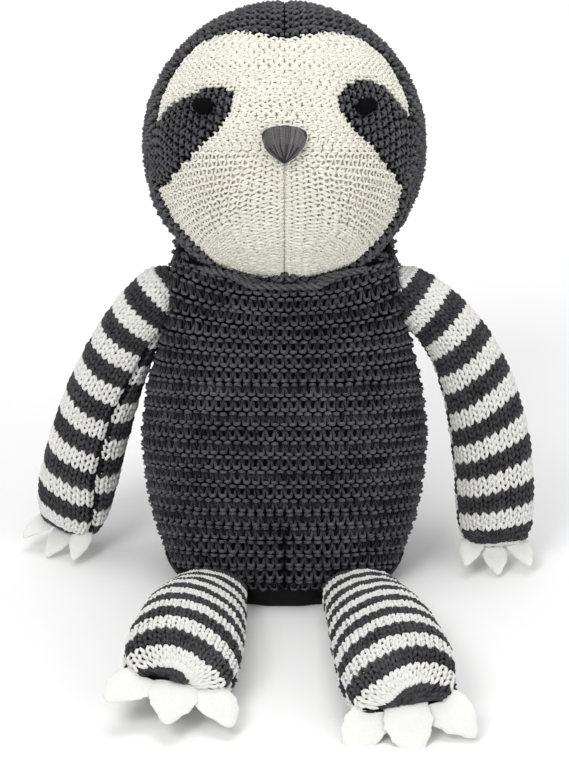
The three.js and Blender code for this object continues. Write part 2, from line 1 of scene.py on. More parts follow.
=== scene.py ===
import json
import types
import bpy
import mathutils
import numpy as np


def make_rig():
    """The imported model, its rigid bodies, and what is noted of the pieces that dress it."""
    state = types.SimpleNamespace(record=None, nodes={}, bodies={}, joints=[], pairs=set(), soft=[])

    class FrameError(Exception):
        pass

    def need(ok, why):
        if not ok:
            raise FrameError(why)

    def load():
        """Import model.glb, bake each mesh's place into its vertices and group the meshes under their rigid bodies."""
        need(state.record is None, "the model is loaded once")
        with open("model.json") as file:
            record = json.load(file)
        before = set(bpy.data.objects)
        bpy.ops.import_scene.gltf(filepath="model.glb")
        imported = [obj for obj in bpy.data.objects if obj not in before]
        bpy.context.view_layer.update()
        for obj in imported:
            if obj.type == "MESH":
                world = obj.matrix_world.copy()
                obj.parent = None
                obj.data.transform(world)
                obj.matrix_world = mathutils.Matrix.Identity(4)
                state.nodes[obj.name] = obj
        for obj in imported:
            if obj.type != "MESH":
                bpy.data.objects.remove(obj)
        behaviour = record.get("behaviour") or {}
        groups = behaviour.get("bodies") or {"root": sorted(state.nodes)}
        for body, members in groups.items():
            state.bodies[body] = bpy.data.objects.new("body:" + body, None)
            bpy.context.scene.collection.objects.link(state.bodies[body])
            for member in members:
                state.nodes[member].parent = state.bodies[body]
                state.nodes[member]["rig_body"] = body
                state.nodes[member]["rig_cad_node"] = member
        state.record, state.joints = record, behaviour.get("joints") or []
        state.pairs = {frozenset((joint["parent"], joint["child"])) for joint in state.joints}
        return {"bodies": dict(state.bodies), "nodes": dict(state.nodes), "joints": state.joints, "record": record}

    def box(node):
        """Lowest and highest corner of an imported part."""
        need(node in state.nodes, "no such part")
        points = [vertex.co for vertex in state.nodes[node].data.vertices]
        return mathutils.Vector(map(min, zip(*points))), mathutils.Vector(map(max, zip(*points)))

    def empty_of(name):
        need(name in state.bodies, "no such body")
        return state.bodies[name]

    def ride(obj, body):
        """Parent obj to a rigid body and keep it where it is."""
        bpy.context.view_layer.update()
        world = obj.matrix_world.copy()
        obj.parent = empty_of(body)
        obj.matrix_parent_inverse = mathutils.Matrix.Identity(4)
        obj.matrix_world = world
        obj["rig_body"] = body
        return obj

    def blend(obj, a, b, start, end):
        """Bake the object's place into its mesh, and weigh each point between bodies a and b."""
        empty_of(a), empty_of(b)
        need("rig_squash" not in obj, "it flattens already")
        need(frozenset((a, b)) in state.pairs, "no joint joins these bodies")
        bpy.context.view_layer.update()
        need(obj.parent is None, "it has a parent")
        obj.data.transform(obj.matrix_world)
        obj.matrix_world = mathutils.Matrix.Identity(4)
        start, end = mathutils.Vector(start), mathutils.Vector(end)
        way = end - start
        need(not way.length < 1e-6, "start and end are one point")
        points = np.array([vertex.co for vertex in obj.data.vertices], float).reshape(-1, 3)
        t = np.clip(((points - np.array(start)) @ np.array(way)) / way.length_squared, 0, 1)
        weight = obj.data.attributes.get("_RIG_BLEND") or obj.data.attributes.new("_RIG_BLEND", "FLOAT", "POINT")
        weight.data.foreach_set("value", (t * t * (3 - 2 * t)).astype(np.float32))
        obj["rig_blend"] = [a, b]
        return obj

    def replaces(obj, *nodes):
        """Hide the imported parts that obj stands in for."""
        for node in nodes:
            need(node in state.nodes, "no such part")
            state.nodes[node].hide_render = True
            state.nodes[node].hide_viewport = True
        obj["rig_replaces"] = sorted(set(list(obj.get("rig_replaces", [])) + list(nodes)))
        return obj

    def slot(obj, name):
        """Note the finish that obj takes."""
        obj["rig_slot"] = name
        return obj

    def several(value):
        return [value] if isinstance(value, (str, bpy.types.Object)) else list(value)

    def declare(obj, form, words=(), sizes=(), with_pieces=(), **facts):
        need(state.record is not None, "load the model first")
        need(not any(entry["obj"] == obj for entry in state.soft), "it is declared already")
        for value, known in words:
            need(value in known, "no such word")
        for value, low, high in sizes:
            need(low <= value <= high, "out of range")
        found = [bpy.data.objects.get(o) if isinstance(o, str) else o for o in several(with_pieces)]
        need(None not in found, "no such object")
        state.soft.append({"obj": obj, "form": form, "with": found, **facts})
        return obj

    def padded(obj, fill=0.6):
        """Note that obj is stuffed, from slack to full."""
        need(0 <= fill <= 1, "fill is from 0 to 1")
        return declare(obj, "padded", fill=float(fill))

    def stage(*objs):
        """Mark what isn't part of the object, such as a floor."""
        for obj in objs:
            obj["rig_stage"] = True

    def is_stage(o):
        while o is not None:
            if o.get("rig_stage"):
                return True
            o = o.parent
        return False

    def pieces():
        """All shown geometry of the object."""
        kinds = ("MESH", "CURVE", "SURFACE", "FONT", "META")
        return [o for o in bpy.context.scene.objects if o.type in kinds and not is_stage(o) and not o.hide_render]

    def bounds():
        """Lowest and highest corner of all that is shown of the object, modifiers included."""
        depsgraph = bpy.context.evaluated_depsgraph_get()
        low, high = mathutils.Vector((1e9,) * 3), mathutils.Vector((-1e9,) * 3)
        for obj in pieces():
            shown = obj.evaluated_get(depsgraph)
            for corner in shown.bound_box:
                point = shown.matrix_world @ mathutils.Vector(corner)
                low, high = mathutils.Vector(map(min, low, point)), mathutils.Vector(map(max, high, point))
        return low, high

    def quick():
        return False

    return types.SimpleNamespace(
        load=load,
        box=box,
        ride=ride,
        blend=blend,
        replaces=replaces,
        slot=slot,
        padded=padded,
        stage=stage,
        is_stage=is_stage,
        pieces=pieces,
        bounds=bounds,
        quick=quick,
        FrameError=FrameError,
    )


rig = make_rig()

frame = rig.load()

import contextlib
import json
import math

import bmesh
import bpy
import numpy as np
from mathutils import Vector
from mathutils.bvhtree import BVHTree

# Plush sloth, sitting. Millimetres and radians below where nothing else is said, metres in every mesh.
# Origin on the floor under the middle of the torso, face towards -Y, the toy's own left at +X.

MM = 0.001
LEFTWARD = np.array([1.0, 0, 0])
cad_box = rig.bounds()

# Torso
TORSO_LEAN = math.radians(18)
SPINE = np.array([0, math.sin(TORSO_LEAN), math.cos(TORSO_LEAN)])
BELLYWARD = np.array([0, -math.cos(TORSO_LEAN), math.sin(TORSO_LEAN)])

# Head
HEAD_CENTRE = np.array([0, 38, 158.0])
HEAD_RADIUS = 53.2
FACE_TILT = math.radians(19)
FACE_FORWARD = np.array([0, -math.cos(FACE_TILT), math.sin(FACE_TILT)])
FACE_UP = np.array([0, math.sin(FACE_TILT), math.cos(FACE_TILT)])

# Outlines on the face, in shares of the head's radius, across and up
MASK = np.array([
    (0, 0.69), (0.15, 0.72), (0.3, 0.75), (0.46, 0.73), (0.6, 0.66), (0.7, 0.56), (0.78, 0.43), (0.835, 0.3),
    (0.855, 0.15), (0.85, 0), (0.84, -0.27), (0.82, -0.42), (0.76, -0.56), (0.66, -0.68), (0.55, -0.79),
    (0.4, -0.88), (0.2, -0.94), (0, -0.9), (-0.2, -0.955), (-0.42, -0.88), (-0.57, -0.77), (-0.69, -0.66),
    (-0.8, -0.52), (-0.88, -0.38), (-0.91, -0.25), (-0.9, 0), (-0.87, 0.15), (-0.84, 0.3), (-0.78, 0.43),
    (-0.7, 0.56), (-0.6, 0.66), (-0.46, 0.73), (-0.3, 0.75), (-0.15, 0.72)])
PATCHES = {
    "left": np.array([
        (0.35, 0.31), (0.43, 0.41), (0.53, 0.445), (0.67, 0.4), (0.78, 0.28), (0.86, 0.16), (0.95, 0),
        (0.92, -0.3), (0.81, -0.31), (0.73, -0.2), (0.6, -0.04), (0.46, 0.09), (0.38, 0.21)]),
    "right": np.array([
        (-0.34, 0.35), (-0.42, 0.39), (-0.55, 0.375), (-0.79, 0.26), (-0.86, 0.16), (-0.95, 0),
        (-0.92, -0.3), (-0.81, -0.28), (-0.72, -0.18), (-0.6, -0.06), (-0.43, 0.09), (-0.36, 0.21)]),
}

# Limbs: half is the half width and half depth along the line, which runs from the joint to the end seam.
# twist turns the side seams, ramp is the share of the length over which it comes in, and seam turns them
# further along the limb. tilt is how far the rows slope towards the toy's middle at the joint, halfway and at
# the end. These are in degrees. crown is how far the rows bow up over the toes, end_rows is the rows in the
# last stripe, close is the share of the length over which the end flattens to its seam, and bend is where
# the sleeve starts and stops to give at the joint.
ARM = {
    "half": [(10.5, 11), (11.1, 11.3), (12.3, 12), (13.6, 12.7), (14.5, 13.2), (15, 13.5), (14.9, 13.5),
             (14.6, 13.3)],
    "ramp": 0, "crown": 0, "close": 0.2, "panels": ("front", "back"), "claws": "hand",
}
LEG = {
    "half": [(15, 8), (16, 9.4), (17.2, 10.9), (18.6, 12.8), (19.7, 14.3), (20.6, 15.4), (20.9, 15.8),
             (21, 16)],
    "ramp": 0.33, "close": 0.28, "panels": ("top", "sole"), "claws": "foot",
}
LIMBS = {
    "left_arm": {
        **ARM, "twist": -8, "seam": (0,), "tilt": (-8, 20, 6), "end_rows": 5,
        "line": [(46, 30, 102), (58.5, 28, 93.5), (67.2, 25.3, 81.5), (73, 22.1, 67.7), (76.7, 18.8, 53.3),
                 (78.9, 15.4, 38.7), (79.7, 11.9, 23.8), (79, 8.5, 9)],
        "bend": ((42, 30, 107), (60, 27, 87)),
    },
    "right_arm": {
        **ARM, "twist": 35, "seam": (0, 14, 32, 30, 8), "tilt": (0, -12, -8), "end_rows": 3,
        "line": [(-46, 30, 102), (-55.6, 29.2, 91.2), (-62.3, 28.2, 78.4), (-67.8, 27.2, 65),
                 (-72.3, 26.2, 51.2), (-76.2, 25.1, 37.3), (-79.6, 24.1, 23.2), (-82.5, 23, 9)],
        "bend": ((-42, 30, 107), (-58, 28, 87)),
    },
    "left_leg": {
        **LEG, "twist": 6, "seam": (0,), "tilt": (10, 12, 8), "crown": 1, "end_rows": 3,
        "line": [(28, -31, 7.5), (30, -45.7, 9.9), (32, -60.3, 12.5), (34, -75.1, 14.2), (36, -90, 15.1),
                 (38, -104.8, 15.8), (40, -119.6, 14.8), (42, -134, 11)],
        "bend": ((27.5, -27, 7.5), (31, -52, 11)),
    },
    "right_leg": {
        **LEG, "twist": -10, "seam": (0,), "tilt": (-10, -18, -3), "crown": 2, "end_rows": 2,
        "line": [(-28, -31, 7.5), (-29.4, -44, 9.9), (-30.8, -57, 12.4), (-32.3, -70.2, 14.2),
                 (-33.7, -83.4, 15.1), (-35.1, -96.6, 15.6), (-36.6, -109.8, 15.3), (-38, -123, 14)],
        "bend": ((-27.5, -27, 7.5), (-31, -52, 11)),
    },
}
# The end seam's half height, its width as a share of the limb's, and how far inside the knitting the form is
HEM_HALF_HEIGHT, HEM_WIDTH, SLEEVE_INSET = 3.8, 0.84, 1.0
# Rings of a limb's round root: the place from the joint in shares of the depth, and the size in shares
ROOT_RINGS = [(-0.93, 0.3), (-0.8, 0.58), (-0.55, 0.83), (-0.28, 0.96)]

# Knitting: width of a stitch, height of a row and half the thickness of the yarn
BODY_STITCH, BODY_ROW, BODY_YARN = 3.8, 2.65, 0.7
HOOD_STITCH, HOOD_ROW, HOOD_YARN = 3.8, 2.4, 0.64
FACE_STITCH, FACE_ROW, FACE_YARN = 3.6, 1.8, 0.62
PATCH_STITCH, PATCH_ROW, PATCH_YARN = 3.4, 1.75, 0.56
LIMB_STITCH, LIMB_ROW, LIMB_YARN = 3.3, 2.44, 0.74
# How far the bumps of the garter ridges stand off the cloth
BODY_RAISED, HOOD_RAISED, PATCH_RAISED = 1.25, 2.0, 1.6
STRIPE_ROWS = 3
YARN_SIDES = 4
# How uneven the loops are: along the row in stitches, across it and off the cloth in millimetres
UNEVEN = (0.06, 0.14, 0.14)
# How deep the ends of a row turn in, and the yarn's thickness in shares at some heights off the cloth
END_DEPTH = 2.4
YARN_HEIGHTS, YARN_SHARES = (-0.6, 0, 1.2, 1.8), (0.7, 0.85, 1.1, 1.2)
HAND = np.random.default_rng(11)

# Collar, shoulders and belly; heights are along the spine
COLLAR_LIFT, CHEEK_LIFT, COLLAR_SPREAD, COLLAR_TOP = 10.0, 6.0, 3.0, 116
SMILE, SMILE_START, SMILE_RUN = 6.0, 105, 30
SHOULDER_HEIGHT, SHOULDER_WIDTH = 107, 5
DART_TOP, DART_RUN, DART_DEPTH, DART_WIDTH = 24, 6, 0.9, 1.3
BASE_RIM = 3
CORD_LIFT, CORD_RADIUS, CORD_PITCH = 2.1, 0.7, 6

# Hood and face. The rim is a roll beyond the mask; FACE_DROOP is in shares of the head's radius.
NECK_HEIGHT = 104
SEAM_GAP = 0.15
HOOD_LEAN, HOOD_DIP, DIP_WIDTH = 0.42, 3.6, 0.16
RIM_ROW, RIM_WIDTH, RIM_START, RIM_GROWTH = 2.1, 12.5, 1.75, 0.35
ROLL_HEIGHT, ROLL_PLACE, ROLL_WIDTH = 1.8, 3.5, 3
FACE_LOW, FACE_HIGH, FACE_SPREAD, FACE_DROOP = -1.3, 1.1, 1.45, 0.62

# Stuffed forms: the cloth's frames and pressure, the size of the voxels, how far inside the solids the form
# starts, and how far the cloth may move
PUFF_FRAMES, PUFF_PRESSURE = 20, 4.0
VOXEL, FORM_INSET, FORM_PUFF = 3.2, 1.7, 2.2
LIMB_VOXEL, LIMB_PUFF = 2.6, 1.2


# Geometry helpers

def unit(vectors):
    return vectors / np.maximum(np.linalg.norm(vectors, axis=-1, keepdims=True), 1e-12)


def bell(offset, width):
    """1 in the middle, fading to nothing on both sides."""
    return np.exp(-(offset / width) ** 2)


def lengths_along(points):
    return np.concatenate([[0], np.cumsum(np.linalg.norm(np.diff(points, axis=0), axis=1))])


def between(places, stations, rows):
    """Rows of values that are given at stations, at the places."""
    return np.stack([np.interp(places, stations, column) for column in rows.T], 1)


def smoothed(points, reach):
    """A line averaged over reach points to each side, with its ends in place."""
    padded = np.pad(points, ((reach, reach), (0, 0)), mode="reflect", reflect_type="odd")
    span = 2 * reach + 1
    return np.stack([np.convolve(column, np.ones(span) / span, "valid") for column in padded.T], 1)


def link(obj):
    bpy.context.scene.collection.objects.link(obj)
    return obj


def object_from(shape, name):
    """A new object with the bmesh as its mesh; the bmesh is freed."""
    mesh = bpy.data.meshes.new(name)
    shape.to_mesh(mesh)
    shape.free()
    return link(bpy.data.objects.new(name, mesh))


def mesh_of(obj, name):
    """A new object whose mesh is obj with its modifiers applied; obj is removed."""
    seen = obj.evaluated_get(bpy.context.evaluated_depsgraph_get())
    made = bpy.data.objects.new(name, bpy.data.meshes.new_from_object(seen))
    bpy.data.objects.remove(obj)
    made.name = made.data.name = name
    return link(made)


def merged_nodes(name, nodes):
    """Copies of the nodes' meshes in one object, with their doubles merged."""
    shape = bmesh.new()
    for node_name in nodes:
        shape.from_mesh(frame["nodes"][node_name].data)
    bmesh.ops.remove_doubles(shape, verts=shape.verts, dist=0.01 * MM)
    return object_from(shape, name)


def remeshed(obj, voxel, name):
    step = obj.modifiers.new("remesh", "REMESH")
    step.mode = "VOXEL"
    step.voxel_size = voxel * MM
    step.use_smooth_shade = True
    return mesh_of(obj, name)


@contextlib.contextmanager
def reshaped(obj):
    """The object's mesh as a bmesh, which is written back at the end."""
    shape = bmesh.new()
    shape.from_mesh(obj.data)
    yield shape
    shape.to_mesh(obj.data)
    shape.free()


def keep_outer_shell(shape):
    """Leaves only the largest connected shell of a bmesh."""
    left, shells = set(shape.verts), []
    while left:
        shell, edge = set(), [next(iter(left))]
        while edge:
            v = edge.pop()
            if v in shell:
                continue
            shell.add(v)
            edge.extend(e.other_vert(v) for e in v.link_edges if e.other_vert(v) not in shell)
        left -= shell
        shells.append(shell)
    largest = max(shells, key=len)
    bmesh.ops.delete(shape, geom=[v for v in shape.verts if v not in largest], context="VERTS")


def tree_of(obj):
    """The object's faces, ready for rays."""
    shape = bmesh.new()
    shape.from_mesh(obj.data)
    tree = BVHTree.FromBMesh(shape)
    shape.free()
    return tree


def vectors_of(items, key):
    flat = np.empty(len(items) * 3)
    items.foreach_get(key, flat)
    return flat.reshape(-1, 3)


def points_of(obj):
    return vectors_of(obj.data.vertices, "co")


def normals_of(obj):
    return vectors_of(obj.data.vertex_normals, "vector")


def place_points(obj, points):
    obj.data.vertices.foreach_set("co", points.ravel())
    obj.data.update()


def relax(obj, rounds):
    with reshaped(obj) as shape:
        for _ in range(rounds):
            bmesh.ops.smooth_vert(shape, verts=shape.verts, factor=0.5, use_axis_x=True, use_axis_y=True,
                                  use_axis_z=True)


def puff(obj, held, cap):
    """Blows the form up as cloth, then smooths it and makes it finer.

    held gives 1 where a seam holds a point, and no point moves further than cap.
    """
    before = points_of(obj)
    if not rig.quick():
        seam = obj.vertex_groups.new(name="seam")
        for i, weight in enumerate(held):
            if weight > 0.02:
                seam.add([i], float(weight), "REPLACE")
        cloth = obj.modifiers.new("cloth", "CLOTH")
        cloth.settings.quality = 6
        cloth.settings.mass = 0.1
        cloth.settings.use_pressure = True
        cloth.settings.uniform_pressure_force = PUFF_PRESSURE
        cloth.settings.vertex_group_mass = "seam"
        cloth.settings.effector_weights.gravity = 0
        cloth.collision_settings.use_collision = False
        scene = bpy.context.scene
        for step in range(1, PUFF_FRAMES + 1):
            scene.frame_set(step)
        seen = obj.evaluated_get(bpy.context.evaluated_depsgraph_get())
        after = np.array([v.co for v in seen.data.vertices], float)
        obj.modifiers.remove(cloth)
        obj.vertex_groups.remove(seam)
        scene.frame_set(1)
        move = after - before
        far = np.linalg.norm(move, axis=1, keepdims=True)
        move *= np.minimum(1, cap * MM / np.maximum(far, 1e-9))
        place_points(obj, before + move)
    relax(obj, 2)
    finer = obj.modifiers.new("finer", "SUBSURF")
    finer.levels = finer.render_levels = 1
    return mesh_of(obj, obj.name)


def stuffed_form(name, nodes, held_at):
    """The stuffed shape under the knitting: the nodes' form, a little smaller, blown up between its seams."""
    form = remeshed(merged_nodes(name + "_copy", nodes), VOXEL, name)
    with reshaped(form) as shape:
        keep_outer_shell(shape)
    relax(form, 4)
    place_points(form, points_of(form) - normals_of(form) * FORM_INSET * MM)
    return puff(form, held_at(points_of(form) / MM), FORM_PUFF)


# Surfaces that the yarn lies on

class Surface:
    """Points and normals found on a form by rays sent outwards, as a grid of rows and turns."""

    def __init__(self, form, starts, directions):
        tree = tree_of(form)
        rows, turns = directions.shape[:2]
        found = np.full((rows, turns), np.nan)
        for spot in np.ndindex(rows, turns):
            hit = tree.ray_cast(Vector(starts[spot] * MM), Vector(directions[spot]))
            if hit[0] is not None:
                found[spot] = hit[3] / MM
        missing = np.isnan(found)
        if missing.any():
            found[missing] = np.interp(np.flatnonzero(missing), np.flatnonzero(~missing), found[~missing])
        self.points = starts + directions * found[..., None]
        out = unit(np.cross(np.gradient(self.points, axis=1), np.gradient(self.points, axis=0)))
        facing = np.sign((out * directions).sum(-1, keepdims=True))
        self.normals = unit(out * np.where(facing == 0, 1, facing))
        self.run = lengths_along(self.points[:, turns // 2])

    def at(self, row, turn):
        """Points and normals at fractional rows and turns of the grid."""
        rows, turns = self.points.shape[:2]
        row, turn = np.clip(row, 0, rows - 1.001), np.clip(turn, 0, turns - 1.001)
        r, t = row.astype(int), turn.astype(int)
        fr, ft = (row - r)[..., None], (turn - t)[..., None]

        def blend(grid):
            return (grid[r, t] * (1 - fr) * (1 - ft) + grid[r + 1, t] * fr * (1 - ft)
                    + grid[r, t + 1] * (1 - fr) * ft + grid[r + 1, t + 1] * fr * ft)
        return blend(self.points), unit(blend(self.normals))


# Knitting

def stitches(count, row_height, front, samples):
    """One row of loops: place along it in stitches, place across it and height off the cloth in millimetres.

    front gives the loops' heads and feet, each with its height off the cloth, its reach across in rows, how
    pointed it is and how much it narrows below its bow, then the height of their legs.
    """
    s = np.linspace(0, 2 * math.pi * count, count * samples + 1)
    (heads, up, head_point, head_narrow), (feet, down, foot_point, foot_narrow), legs = front
    uneven = [np.interp(s / (2 * math.pi), np.arange(count + 1), HAND.normal(0, spread, count + 1))
              for spread in UNEVEN]
    is_head, bow = np.cos(s) > 0, np.abs(np.cos(s))
    along = s / (2 * math.pi) + np.where(is_head, head_narrow, foot_narrow) * np.sin(2 * s) \
        + uneven[0] * np.sin(s / (2 * count))
    across = row_height * np.where(is_head, up * bow ** head_point, -down * bow ** foot_point) + uneven[1]
    height = np.where(is_head, heads, feet) * np.cos(s) ** 2 + legs * np.sin(s) ** 2 + uneven[2]
    return along, across, height


def lay_rows(surface, row_height, stitch, pattern, belongs=None, bend=None, tone=None, samples=10, first=0.5,
             count=None, sink=None, tuck=0.3):
    """Rows of loops over a surface, wherever belongs says that the cloth is.

    bend moves a row's line along the form, pattern gives the front of row k and tone its material. count
    fixes the stitches in every row, sink is how deep the yarn is pulled in, and tuck is over how many
    stitches a row's ends turn in. Row k lies k + first row heights from the surface's start.
    """
    rows, turns = surface.points.shape[:2]
    run = surface.run
    fine = np.linspace(0, turns - 1, 7 * turns)
    strands = []
    for k in range(int(run[-1] / row_height - min(first, 0) * 2)):
        place = (k + first) * row_height

        def line(turn):
            return place + (bend(place, turn / (turns - 1) * 2 - 1) if bend else 0 * turn)
        points, _ = surface.at(np.interp(line(fine), run, np.arange(rows)), fine)
        on = (line(fine) > 0) & (line(fine) < run[-1])
        if belongs:
            on &= belongs(points)
        edges = np.flatnonzero(np.diff(np.r_[0, on.astype(int), 0]))
        for a, b in zip(edges[::2], edges[1::2]):
            length = lengths_along(points[a:b])[-1] if b - a > 1 else 0
            loops = count or int(round(length / (stitch(place) if callable(stitch) else stitch)))
            if loops < 1:
                continue
            along, across, height = stitches(loops, row_height, pattern(k), samples)
            turn = fine[a] + (fine[b - 1] - fine[a]) * along / loops
            spots, normals = surface.at(np.interp(line(turn) + across, run, np.arange(rows)), turn)
            height = height - np.clip(tuck - np.minimum(along, loops - along), 0, 1) * END_DEPTH
            if sink:
                height = height - sink(spots)
            strands.append((spots + normals * height[:, None], tone(k) if tone else 0, height))
    return strands


def garter(raised):
    """Every second junction of rows stands out as two lines of bumps, with slanted legs in the valleys."""
    bump = (raised, 0.23, 0.6, 0.12)
    apex, foot = (0.1, 1.05, 1.1, -0.06), (-0.3, 1.05, 1.1, -0.06)
    return lambda k: (apex, bump, raised * 0.4) if k % 2 else (bump, foot, 0.1)


def knit_side(k):
    """Stocking stitch from the front: the legs stand out as rows of V."""
    bow = (-0.1, 0.785, 1.0, 0.24)
    return bow, bow, 1.15


def purl_side(k):
    """Stocking stitch from the back: the bows stand out."""
    bow = (0.85, 0.858, 0.8, 0.24)
    return bow, bow, 0.3


def yarn_mesh(name, strands, thickness, materials):
    """All strands of one piece as round yarn.

    A strand is its points in millimetres, its material's number and how far each point stands off the cloth.
    The UV map holds the turn round the yarn and the millimetres along it.
    """
    line = bpy.data.curves.new(name, "CURVE")
    line.dimensions = "3D"
    line.bevel_depth = thickness * MM
    line.bevel_resolution = 0
    line.use_fill_caps = False
    for points, _, rise in strands:
        strand = line.splines.new("POLY")
        strand.points.add(len(points) - 1)
        strand.points.foreach_set("co", np.c_[points * MM, np.ones(len(points))].ravel())
        strand.points.foreach_set("radius", np.interp(rise, YARN_HEIGHTS, YARN_SHARES))
        strand.use_smooth = True
    made = mesh_of(link(bpy.data.objects.new(name + "_line", line)), name)
    mesh = made.data
    for material in materials:
        mesh.materials.append(material)
    counts = np.array([len(points) for points, *_ in strands])
    tones = np.repeat([tone for _, tone, _ in strands], (counts - 1) * YARN_SIDES)
    mesh.polygons.foreach_set("material_index", tones.astype(np.int32))
    around = np.tile(np.arange(YARN_SIDES), counts.sum())
    along = np.repeat(np.concatenate([lengths_along(points) for points, *_ in strands]), YARN_SIDES)
    rises = np.repeat(np.concatenate([rise for *_, rise in strands]), YARN_SIDES)
    # How far each point stands off the cloth; the wool material reads it to paint shade where the yarn lies deep
    standing = mesh.attributes.new("standing", "FLOAT", "POINT")
    standing.data.foreach_set("value", rises.astype(np.float32))
    corners = np.empty(len(mesh.loops), np.int32)
    mesh.loops.foreach_get("vertex_index", corners)
    side = around[corners].reshape(-1, 4)
    wraps = (side == 0) & (side.max(1, keepdims=True) == YARN_SIDES - 1)
    uv = np.stack([(np.where(wraps, YARN_SIDES, side) / YARN_SIDES).ravel(), along[corners]], 1)
    mesh.uv_layers[0].data.foreach_set("uv", uv.ravel())
    with reshaped(made) as shape:
        bmesh.ops.holes_fill(shape, edges=[e for e in shape.edges if e.is_boundary], sides=YARN_SIDES)
    for polygon in mesh.polygons:
        polygon.use_smooth = True
    return made


# Materials

def shader_group(name, inputs, outputs):
    group = bpy.data.node_groups.new(name, "ShaderNodeTree")
    for way, sockets in (("INPUT", inputs), ("OUTPUT", outputs)):
        for label, kind in sockets.items():
            group.interface.new_socket(label, in_out=way, socket_type=f"NodeSocket{kind}")
    return group, group.nodes.new("NodeGroupInput"), group.nodes.new("NodeGroupOutput")


def settle(made, **settings):
    """Gives a node's inputs, or else its own settings, the values or the sockets under their names."""
    for key, value in settings.items():
        if key not in made.inputs:
            setattr(made, key, value)
        elif isinstance(value, bpy.types.NodeSocket):
            made.id_data.links.new(value, made.inputs[key])
        else:
            made.inputs[key].default_value = value
    return made


def node(tree, kind, **settings):
    return settle(tree.nodes.new(kind), **settings)


def maths(tree, operation, a, b=0.0, c=0.0):
    """The output of one Math node; a, b and c are sockets or numbers."""
    made = node(tree, "ShaderNodeMath", operation=operation)
    for socket, value in zip(made.inputs, (a, b, c)):
        if isinstance(value, (int, float)):
            socket.default_value = value
        else:
            tree.links.new(value, socket)
    return made.outputs[0]


def ranged(tree, value, low, high, to_low, to_high):
    """The output of one Map Range node."""
    return node(tree, "ShaderNodeMapRange", Value=value,
                **{"From Min": low, "From Max": high, "To Min": to_low, "To Max": to_high}).outputs[0]


def wool_fibre():
    """Colour, roughness and height of spun wool: two plies twisted together, streaks of fibre and loose fuzz.

    The yarn's standing attribute darkens it where it lies deep in the cloth: painted shade, as strong as each material
    asks.
    """
    plies, groove_power, streaks_across, streaks_along = 2.0, 0.6, 5.0, 0.9
    groove_height, streak_height, fuzz_height = 0.65, 0.5, 0.45
    spun_light, fuzz_light, wash_light, twist_light = 0.45, 0.7, 0.5, -0.3
    stands_clear, lies_deep = 1.2, -0.2
    dark_roughness, light_roughness = 0.95, 0.6
    group, given, out = shader_group(
        "wool_fibre",
        {"Yarn": "Color", "Shade": "Color", "Fibre": "Float", "Twist": "Float", "Pitch": "Float",
         "Depth": "Float"},
        {"Color": "Color", "Height": "Float", "Roughness": "Float"})

    def times(a, b):
        return maths(group, "MULTIPLY", a, b)

    def plus(a, b):
        return maths(group, "ADD", a, b)

    place = node(group, "ShaderNodeTexCoord").outputs
    fuzz = node(group, "ShaderNodeTexNoise", Vector=place["Object"], Scale=given.outputs["Fibre"], Detail=2.0,
                Roughness=0.6)
    wash = node(group, "ShaderNodeTexNoise", Vector=place["Object"], Scale=70.0, Detail=2.0)
    lay = node(group, "ShaderNodeSeparateXYZ", Vector=place["UV"])
    wound = plus(times(lay.outputs["X"], plies),
                 maths(group, "DIVIDE", lay.outputs["Y"], given.outputs["Pitch"]))
    groove = maths(group, "ABSOLUTE", maths(group, "SINE", times(wound, math.pi)))
    groove = maths(group, "POWER", groove, groove_power)
    strand = node(group, "ShaderNodeCombineXYZ", X=times(wound, streaks_across),
                  Y=times(lay.outputs["Y"], streaks_along))
    streaks = node(group, "ShaderNodeTexNoise", Vector=strand.outputs[0], Scale=1.0, Detail=1.0)
    spun = plus(times(groove, groove_height), times(streaks.outputs["Fac"], streak_height))
    spun = times(spun, given.outputs["Twist"])
    height = plus(spun, times(fuzz.outputs["Fac"], fuzz_height))
    # The grooves between the plies come out darker: painted shade in the grooves. The fibre streaks and the fuzz give
    # the yarn's own uneven tone.
    light = plus(times(spun, spun_light), times(fuzz.outputs["Fac"], fuzz_light))
    for value, strength in ((wash.outputs["Fac"], wash_light), (given.outputs["Twist"], twist_light)):
        light = plus(light, maths(group, "MULTIPLY_ADD", value, strength, -strength / 2))
    # Painted shade: the colour darkens towards the shade colour where the yarn lies deep in the cloth
    standing = node(group, "ShaderNodeAttribute", attribute_name="standing")
    painted_hollow_shade = ranged(group, standing.outputs["Fac"], stands_clear, lies_deep, 0.0, 1.0)
    light = maths(group, "SUBTRACT", light, times(painted_hollow_shade, given.outputs["Depth"]))
    mix = node(group, "ShaderNodeMix", data_type="RGBA", Factor=light)
    group.links.new(given.outputs["Shade"], mix.inputs[6])
    group.links.new(given.outputs["Yarn"], mix.inputs[7])
    settle(out, Color=mix.outputs[2], Height=height,
           Roughness=ranged(group, light, 0.0, 1.0, dark_roughness, light_roughness))
    return group


def wool(name, yarn, shade, fibre=2600.0, sheen=0.05, bump=0.6, twist=1.0, pitch=3.2, depth=0.6, gloss=0.2):
    """Wool from its light and its dark colour; the dark colour is also painted in as shade where the yarn lies deep,
    as strongly as depth says. Twist 0 and depth 0 give cloth or felt without yarn.
    """
    material = bpy.data.materials.new(name)
    material.use_nodes = True
    tree = material.node_tree
    fibres = node(tree, "ShaderNodeGroup", node_tree=WOOL_FIBRE, Yarn=(*yarn, 1), Shade=(*shade, 1),
                  Fibre=fibre, Twist=twist, Pitch=pitch, Depth=depth).outputs
    raised = node(tree, "ShaderNodeBump", Strength=bump, Distance=0.3 * MM, Height=fibres["Height"])
    settle(tree.nodes["Principled BSDF"], Roughness=fibres["Roughness"], Normal=raised.outputs["Normal"],
           **{"Base Color": fibres["Color"], "Sheen Weight": sheen, "Sheen Roughness": 0.5,
              "Specular IOR Level": gloss})
    return material


